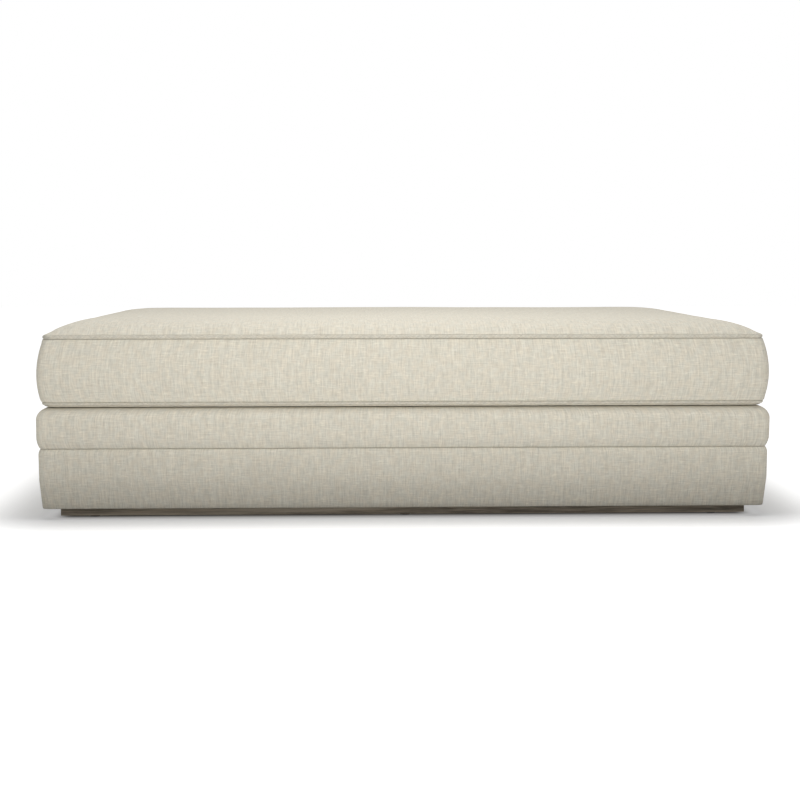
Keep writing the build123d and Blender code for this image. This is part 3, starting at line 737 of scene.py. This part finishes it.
def cover_ring(name, section, seed):
    """A band of linen round the base. Slow waves, and short gathers near the seam, lift it from its cut shape,
    mostly outwards."""
    made = ring(name, section, BASE_CORNER, BASE)
    points = places_of(made)
    upright = np.clip(1 - np.abs(normals_of(made)[:, 2]), 0, 1)
    waves = (ripples(points, (0.28, 0.28, 0.12), seed) + 0.4) * WAVES
    gathers = (ripples(points, (0.018, 0.018, 0.06), seed + 1) + 0.3) * GATHERS
    gathers *= np.exp(-np.abs(points[:, 2] - SEAM) / 0.014)
    swell(made, (waves + gathers) * upright)
    thicken(made, LINEN_THICKNESS)
    settle(made, "base", linen, [f"{name}_{side}" for side in sides])
    around = runs(stations(0, BASE_CORNER, BASE))[-1]


sides = ("front", "back", "left", "right")
cover_ring("band_cover", band_section, 11)
cover_ring("lower_cover", lower_section, 13)

# %% [markdown]
# Under the covers lie the soft fillings. Each has its own closed form: foam along the border, cotton
# padding down the sides, a deck pad, felt over the springs, and inside the cushion a foam block wrapped in
# fibre.

# %% Filling materials
def filling_finish(name, light, dark, size, roughness, strength, reach):
    """Open foam, felt or fibre: a mottled colour and a pitted surface."""
    material, bench, shader = finish_of(name, Roughness=roughness, Specular_IOR_Level=0.25)
    place = bench.object_place()
    cells = bench.noise(place, size, 3.0, 0.65)
    clouds = bench.noise(place, size / 40, 2.0)
    colour = bench.blend(bench.spread(cells * 0.7 + clouds * 0.3, 0.3, 0.7), dark, light)
    feed(bench, shader, Base_Color=colour, Normal=bench.bump(cells, strength, reach))
    return material


border_foam = filling_finish(
    "border_foam_cream", rgb(0.80, 0.74, 0.55), rgb(0.66, 0.58, 0.38), 900.0, 0.95, 0.5, 0.001
)
cushion_foam = filling_finish(
    "cushion_foam_white", rgb(0.84, 0.84, 0.78), rgb(0.70, 0.70, 0.62), 800.0, 0.95, 0.5, 0.001
)
fibre = filling_finish("fibre_white", rgb(0.88, 0.88, 0.87), rgb(0.74, 0.74, 0.73), 260.0, 0.98, 0.6, 0.003)
cotton = filling_finish("cotton_padding", rgb(0.62, 0.58, 0.52), rgb(0.40, 0.37, 0.33), 420.0, 0.98, 0.6, 0.002)
felt = filling_finish("grey_felt", rgb(0.40, 0.39, 0.38), rgb(0.22, 0.215, 0.21), 700.0, 0.98, 0.5, 0.001)
print("filling materials ready")

# %% Fillings
FOAM_TOP, FOAM_LEDGE, FOAM_REACH, FOAM_SHOULDER = 0.2312, 0.2198, 0.0885, 0.0218
BOARD_FACE = 0.0172

foam_section = [(FOAM_REACH, FOAM_TOP, SQUARE), (0.0560, FOAM_TOP)]
foam_section += arc((SHOULDER, DECK - SHOULDER), FOAM_SHOULDER, 90, 0, 7) + [(0.0022, BAND_FACE[1])]
foam_section += [(0.0024, SEAM + 0.015), (0.0046, SEAM + 0.007), (0.0090, SEAM + 0.0012)]
foam_section += [(BOARD_FACE, SEAM + 0.0010, SQUARE), (BOARD_FACE, FOAM_LEDGE, SQUARE)]
foam_section += [(FOAM_REACH, FOAM_LEDGE, SQUARE)]
border = ring("border_foam", foam_section, BASE_CORNER, BASE, closed=True, room=0.02)
settle(border, "base", border_foam, [f"border_foam_{s}" for s in sides])

padding_section = [(BOARD_FACE, SEAM - 0.0010, SQUARE), (0.0094, SEAM - 0.0012), (0.0070, SEAM - 0.005)]
padding_section += [(0.0056, SEAM - 0.013), (0.0056, TAPER_TOP), (0.0105, FOOT + 0.0025)]
padding_section += [(BOARD_FACE, FOOT + 0.0025, SQUARE), (BOARD_FACE, TAPER_TOP, SQUARE)]
padding = ring("lower_padding", padding_section, BASE_CORNER, BASE, closed=True, room=0.02)
settle(padding, "base", cotton, [f"lower_padding_{s}" for s in sides])

FILL_ROOM, FILL_WAVES = 0.03, 0.0004


def soft_slab(node, edge, body, finish):
    """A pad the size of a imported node, with rounded edges and a slightly uneven surface."""
    low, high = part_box(node)
    size, middle = (high.x - low.x, high.y - low.y), (high.y + low.y) / 2
    turn = [(edge * (1 - math.cos(a)), edge * math.sin(a)) for a in np.radians((90, 60, 30, 0))]
    rows = [(inset, high.z - edge + lift) for inset, lift in turn]
    rows += [(inset, low.z + edge - lift) for inset, lift in turn[::-1]]
    corner = max(edge * 1.5, 0.004)
    patches = block(rows, lambda x, y: high.z, lambda x, y: low.z, size, middle, corner, FILL_ROOM)
    made = object_from(f"{node}_fill", patches)
    swell(made, np.clip(ripples(places_of(made), 0.2, 21) - 0.7, -2, 0) * FILL_WAVES)
    settle(made, body, finish, (node,))


soft_slab("deck_pad", 0.004, "base", border_foam)
soft_slab("spring_insulator", 0.001, "base", felt)
soft_slab("foam_core", 0.010, "cushion", cushion_foam)

WRAP_GAP, FIBRE_SKIN, FIBRE_SHOULDER = 0.0005, 0.0075, 0.026
core_low, core_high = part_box("foam_core")
core_inset = SIZE[0] / 2 - core_high.x - WRAP_GAP
core_over, core_under = core_high.z + WRAP_GAP, core_low.z - WRAP_GAP
fibre_foot = UNDER_FOOT + 0.003
over, under = ZIP_LEVEL + WRAP_GAP, ZIP_LEVEL - WRAP_GAP
wraps = {
    "fibre_top": (
        boxing_rows(4, FIBRE_SKIN, over) + [(core_inset, over), (core_inset, core_over)],
        lambda x, y: dome(x, y, UPPER_SEAM, TOP - 0.008, FIBRE_SHOULDER),
        lambda x, y: core_over,
    ),
    "fibre_bottom": (
        [(core_inset, core_under), (core_inset, under)] + boxing_rows(4, FIBRE_SKIN, fibre_foot, under),
        lambda x, y: core_under,
        lambda x, y: dome(x, y, fibre_foot, RESTING + 0.004, UNDER_SHOULDER),
    ),
}
for name, (rows, top, bottom) in wraps.items():
    wrap = object_from(f"{name}_wrap", block(rows, top, bottom, room=FILL_ROOM))
    settle(wrap, "cushion", fibre, (name,))

# %% [markdown]
# Two plain sheets close the base: the deck cloth under the cushion, and the dark dust cover underneath.

# %% Deck cloth and dust cover
def woven_finish(name, light, dark, threads, roughness):
    """A plain woven or bonded cloth with fine threads."""
    material, bench, shader = finish_of(name, Roughness=roughness, Specular_IOR_Level=0.2, Sheen_Weight=0.1)
    place = bench.make("ShaderNodeUVMap", {"uv_map": "cloth"})
    upright = bench.noise(bench.stretch(place, (threads, threads / 9, 1.0)), 1.0, 2.0)
    crossing = bench.noise(bench.stretch(place, (threads / 9, threads, 1.0), (4.0, 2.0, 0.0)), 1.0, 2.0)
    shade = 0.5 + (upright - 0.5) * 0.9 + (crossing - 0.5) * 0.9
    colour = bench.blend(shade, dark, light)
    feed(bench, shader, Base_Color=colour, Normal=bench.bump(upright + crossing, 0.3, 0.0006))
    return material


deck_linen = woven_finish("deck_cloth_oat", rgb(0.70, 0.66, 0.56), rgb(0.52, 0.49, 0.41), 700.0, 0.9)
dust_black = woven_finish("dust_cover_black", rgb(0.055, 0.055, 0.058), rgb(0.018, 0.018, 0.02), 500.0, 0.85)
SHEET_ROOM, SLACK_REACH, HEM_INSET = 0.02, 0.12, 0.0383


def stretched_sheet(name, inset, level, thickness, finish, sag):
    """A flat sheet an inset inside the base, its top at a level, slightly slack in the middle."""
    half = (BASE[0] / 2 - inset, BASE[1] / 2 - inset)
    a, b = (np.linspace(-h, h, round(2 * h / SHEET_ROOM)) for h in half)
    across, deep = np.meshgrid(a, b[::-1])
    slack = np.minimum(1, np.minimum(half[0] - np.abs(across), half[1] - np.abs(deep)) / SLACK_REACH)
    places = np.stack([across, deep, 0 * deep], -1).reshape(-1, 3)
    waves = ripples(places, (0.16, 0.16, 1), 31).reshape(across.shape)
    levels = level - sag * slack * (0.6 + 0.4 * waves)
    made = object_from(f"{name}_sheet", [patch(np.stack([across, deep, levels], -1), a, b[::-1])])
    thicken(made, thickness)
    settle(made, "base", finish, (name,))


stretched_sheet(
    "deck_cloth", BORDER_REACH, DECK - 0.0002, DECK_CLOTH_THICKNESS, deck_linen, 0.0003,
)
stretched_sheet(
    "dust_cover", HEM_INSET, 0.0250, DUST_COVER_THICKNESS, dust_black, 0.0,
)

# %% [markdown]
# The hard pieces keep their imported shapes, and only get their finishes. Weathered dark wood shows long pale
# and dark fibres along the board. Frame wood is plain pine. The grain follows each board, so there is one
# finish per direction.

# %% Wood and metal finishes
def wood_finish(name, along, light, dark, streak, roughness):
    """Sawn or weathered wood whose grain runs along an axis: 0 for X, 1 for Y and 2 for Z."""
    material, bench, shader = finish_of(name, Specular_IOR_Level=0.3)
    place = bench.object_place()
    scale = [1.0, 1.0, 1.0]
    scale[along] = 0.035
    grain = bench.noise(bench.stretch(place, scale), 190.0, 4.0, 0.65)
    fibres = bench.noise(bench.stretch(place, scale, (2.0, 3.0, 4.0)), 700.0, 3.0, 0.6)
    worn = bench.noise(bench.stretch(place, scale, (7.0, 1.0, 5.0)), 60.0, 3.0)
    shade = grain * 0.5 + fibres * 0.3 + worn * 0.2
    colour = bench.blend(bench.spread(shade, 0.36, 0.64), dark, light)
    colour = bench.blend(bench.spread(worn, 0.58, 0.75) * 0.7, colour, streak)
    feed(bench, shader, Base_Color=colour, Normal=bench.bump(shade, 0.5, 0.0008))
    feed(bench, shader, Roughness=bench.spread(shade, 0.3, 0.7, roughness + 0.1, roughness - 0.1))
    return material


pine_shades = (rgb(0.66, 0.49, 0.30), rgb(0.46, 0.29, 0.14), rgb(0.36, 0.20, 0.09))
dark_shades = (rgb(0.50, 0.42, 0.32), rgb(0.15, 0.130, 0.102), rgb(0.62, 0.54, 0.43))
board_shades = (rgb(0.42, 0.32, 0.21), rgb(0.33, 0.24, 0.15), rgb(0.28, 0.20, 0.12))
pine = [wood_finish(f"pine_{axis}", n, *pine_shades, 0.7) for n, axis in enumerate("xyz")]
dark_oak = [wood_finish(f"weathered_dark_{axis}", n, *dark_shades, 0.75) for n, axis in enumerate("xy")]
board = wood_finish("side_board_brown", 0, *board_shades, 0.8)


def metal_finish(name, light, dark, roughness, size):
    """Steel or coated metal with faint smears."""
    material, bench, shader = finish_of(name, Metallic=1.0)
    place = bench.object_place()
    smears = bench.noise(place, size, 3.0, 0.6)
    colour = bench.blend(bench.spread(smears, 0.3, 0.7), dark, light)
    rough = bench.spread(smears, 0.3, 0.7, roughness - 0.08, roughness + 0.1)
    feed(bench, shader, Base_Color=colour, Roughness=rough)
    return material


spring_steel = metal_finish("spring_steel", rgb(0.30, 0.29, 0.27), rgb(0.13, 0.125, 0.12), 0.45, 120.0)
bright_steel = metal_finish("zinc_steel", rgb(0.72, 0.72, 0.70), rgb(0.55, 0.55, 0.54), 0.35, 200.0)
zip_metal = metal_finish("zip_metal", rgb(0.66, 0.64, 0.60), rgb(0.50, 0.48, 0.45), 0.3, 300.0)
glide_black = filling_finish(
    "glide_plastic_black", rgb(0.05, 0.05, 0.05), rgb(0.03, 0.03, 0.03), 600.0, 0.45, 0.2, 0.0004
)


def dress(names, material):
    """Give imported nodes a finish."""
    for name in names:
        nodes[name].material_slots[0].material = material


long_sides = ("front", "back")
end_sides = ("left", "right")
dress([f"{rail}_{s}" for rail in ("bottom_rail", "top_rail") for s in long_sides], pine[0])
dress([f"{rail}_{s}" for rail in ("bottom_rail", "top_rail") for s in end_sides] + ["cross_rails"], pine[1])
dress(["corner_posts", "middle_posts", "corner_blocks"], pine[2])
dress([f"side_board_{s}" for s in sides], board)
dress([f"plinth_{s}" for s in long_sides], dark_oak[0])
dress([f"plinth_{s}" for s in end_sides] + ["plinth_cross_board"], dark_oak[1])
dress(["sinuous_springs"], spring_steel)
dress(["spring_clips", "plinth_screws"], bright_steel)
dress(["zip_slider", "zip_pull"], zip_metal)
dress(["glides"], glide_black)
print("packed nodes dressed")

# %% [markdown]
# Teeth, stitches and staples are one shape set again and again along a path. One Geometry Nodes tree does
# all three. It turns the path into evenly spaced points, sets the shape on each with its X axis along the
# path and its Z axis facing out, tilts it a little by a seeded random amount, and gives the result its
# material. The tree ends as a plain mesh, and each row is baked, so that it keeps no modifiers.

# %% Rows of small shapes
def row_tree():
    """The tree, and the identifiers of its named inputs."""
    tree = bpy.data.node_groups.new("row_of_shapes", "GeometryNodeTree")
    tree.interface.new_socket("Geometry", in_out="OUTPUT", socket_type="NodeSocketGeometry")
    kinds = {
        "Path": "Geometry", "Shape": "Object", "Spacing": "Float", "Size": "Vector", "Facing": "Vector",
        "Tilt": "Float", "Seed": "Int", "Material": "Material",
    }
    sockets = {
        name: tree.interface.new_socket(name, in_out="INPUT", socket_type=f"NodeSocket{kind}").identifier
        for name, kind in kinds.items()
    }
    bench = Bench(tree)
    given = {name: bench.make("NodeGroupInput", output=name) for name in kinds}
    path = bench.make("GeometryNodeMeshToCurve", None, {"Mesh": given["Path"]})
    spaced = {"Curve": path, "Length": given["Spacing"]}
    path = bench.make("GeometryNodeResampleCurve", {"mode": "LENGTH"}, spaced)
    shape = bench.make("GeometryNodeObjectInfo", None, {"Object": given["Shape"]}, "Geometry")
    limits = {0: given["Tilt"] * -1.0, 1: given["Tilt"], "Seed": given["Seed"]}
    tilt = bench.make("FunctionNodeRandomValue", {"data_type": "FLOAT_VECTOR"}, limits)
    facing = bench.make("ShaderNodeVectorMath", {"operation": "ADD"}, {0: given["Facing"], 1: tilt})
    turn = bench.make("FunctionNodeAlignRotationToVector", {"axis": "Z"}, {"Vector": facing})
    along = {"Rotation": turn, "Vector": bench.make("GeometryNodeInputTangent")}
    turn = bench.make("FunctionNodeAlignRotationToVector", {"axis": "X", "pivot_axis": "Z"}, along)
    placed = {"Points": path, "Instance": shape, "Rotation": turn, "Scale": given["Size"]}
    row = bench.make("GeometryNodeInstanceOnPoints", None, placed)
    row = bench.make("GeometryNodeRealizeInstances", None, {"Geometry": row})
    row = bench.make("GeometryNodeSetMaterial", None, {"Geometry": row, "Material": given["Material"]})
    bench.make("NodeGroupOutput", None, {0: row})
    return tree, sockets


def small_shape(name, build):
    """A small mesh of unit size, kept out of the scene, that a row repeats."""
    shape = bmesh.new()
    build(shape)
    mesh = bpy.data.meshes.new(name)
    shape.to_mesh(mesh)
    shape.free()
    mesh.shade_smooth()
    return bpy.data.objects.new(name, mesh)


def bar(shape):
    """A cube of side one with broken edges."""
    bmesh.ops.create_cube(shape, size=1.0)
    bmesh.ops.bevel(shape, geom=shape.edges[:], offset=0.12, segments=1, affect="EDGES")


row_nodes, row_sockets = row_tree()
bead = small_shape(
    "bead", lambda shape: bmesh.ops.create_uvsphere(shape, u_segments=8, v_segments=5, radius=0.5)
)
staple = small_shape("staple", bar)


def row_of(name, paths, closed, material, body, slot, stands_for=(), **inputs):
    """A row of shapes along each path, as a plain mesh."""
    points = np.concatenate(paths)
    edges, first = [], 0
    for path in paths:
        spans = len(path) if closed else len(path) - 1
        edges += [(first + n, first + (n + 1) % len(path)) for n in range(spans)]
        first += len(path)
    mesh = bpy.data.meshes.new(name)
    mesh.from_pydata(points.tolist(), edges, [])
    made = add_object(name, mesh)
    row = made.modifiers.new("row", "NODES")
    row.node_group = row_nodes
    for label, value in inputs.items():
        row[row_sockets[label]] = value
    row[row_sockets["Material"]] = material
    bake(made)
    settle(made, body, material, stands_for)


print("row tree with", len(row_nodes.nodes), "nodes and inputs", list(row_sockets))

# %% [markdown]
# The zipper lies in its slot at the back: two woven tapes, and along their edges the teeth that hook
# together. The upper teeth stand half a step beside the lower ones. Two rows of stitches hold the tapes to
# the cover, and follow its surface, which a ray from behind finds.

# %% Zipper
tape_cloth = woven_finish("zipper_tape_oat", rgb(0.66, 0.62, 0.53), rgb(0.48, 0.45, 0.38), 1500.0, 0.8)
coil_nylon = filling_finish(
    "zipper_nylon_oat", rgb(0.70, 0.66, 0.58), rgb(0.58, 0.54, 0.46), 500.0, 0.4, 0.1, 0.0003
)
thread = filling_finish("thread_oat", rgb(0.74, 0.70, 0.60), rgb(0.56, 0.52, 0.43), 900.0, 0.8, 0.3, 0.0003)

TAPE_COLUMNS, TAPE_WIDTH = 141, 0.010
# Each tape's rows, by their distance from the zipper's middle and their depth behind the back face
tape_rows = np.array([(0.0100, 0.0047), (0.0066, 0.0046), (0.0040, 0.0027), (0.0010, 0.0019)])
tape_patches = []
for rows in (tape_rows, tape_rows[::-1] * (-1, 1)):
    across, up = np.meshgrid(np.linspace(-ZIP_HALF, ZIP_HALF, TAPE_COLUMNS), rows[:, 0])
    depth = np.broadcast_to(rows[:, 1:], across.shape)
    points = np.stack([-across, BACK_FACE - depth, ZIP_LEVEL + up], -1)
    tape_patches.append(patch(points, np.linspace(0, 2 * ZIP_HALF, TAPE_COLUMNS), rows[:, 0]))
tapes = object_from("zipper_tape_pair", tape_patches)
thicken(tapes, TAPE_THICKNESS)
settle(tapes, "cushion", tape_cloth, ("zipper_tapes",))

TOOTH_PITCH, TOOTH_DEPTH, TOOTH_LIFT = 0.0015, 0.0010, 0.0012
outwards = (0.0, 1.0, 0.0)
tooth_rows = []
for side in (-1, 1):
    shift = TOOTH_PITCH * side / 4
    level = ZIP_LEVEL + side * TOOTH_LIFT
    tooth_rows.append([(end * (ZIP_HALF - 0.002) + shift, BACK_FACE - TOOTH_DEPTH, level) for end in (-1, 1)])
row_of(
    "zipper_teeth", tooth_rows, False, coil_nylon, "cushion", "zipper_coil", ("zipper_coils",),
    Shape=bead, Spacing=TOOTH_PITCH, Size=(0.0010, 0.0032, 0.0016), Facing=outwards, Tilt=0.02, Seed=1,
)

cover_surface = bvhtree.BVHTree.FromObject(cover, bpy.context.evaluated_depsgraph_get())
STITCH_LIFT, STITCH_END, BEHIND = 0.0085, 0.004, 0.6
stitch_rows = []
for side in (-1, 1):
    across = np.linspace(-ZIP_HALF + STITCH_END, ZIP_HALF - STITCH_END, 90)
    starts = [Vector((x, BEHIND, ZIP_LEVEL + side * STITCH_LIFT)) for x in across]
    stitch_rows.append([tuple(cover_surface.ray_cast(start, (0, -1, 0))[0]) for start in starts])
row_of(
    "zipper_stitches", stitch_rows, False, thread, "cushion", "linen_cover",
    Shape=bead, Spacing=0.0042, Size=(0.0034, 0.0007, 0.0007), Facing=outwards, Tilt=0.08, Seed=2,
)

# %% [markdown]
# Stitches also join the deck cloth to the border, and staples hold the turned-under hem to the rails.

# %% Deck stitches and hem staples
DECK_STITCH_INSET, STAPLE_INSET = 0.0890, 0.0310


def round_path(inset, level):
    """A closed path round the base."""
    places = stations(inset, BASE_CORNER, BASE, room=0.02)
    return np.column_stack([places, np.full(len(places), level)]).tolist()


row_of(
    "deck_stitches", [round_path(DECK_STITCH_INSET, DECK + 0.0002)], True, thread, "base", "linen_cover",
    Shape=bead, Spacing=0.0050, Size=(0.0040, 0.0008, 0.0007), Facing=(0.0, 0.0, 1.0), Tilt=0.08, Seed=3,
)
row_of(
    "hem_staples", [round_path(STAPLE_INSET, FOOT - 0.0002)], True, bright_steel, "base", "screw_steel",
    Shape=staple, Spacing=0.036, Size=(0.0100, 0.0012, 0.0007), Facing=(0.0, 0.0, -1.0), Tilt=0.05, Seed=4,
)
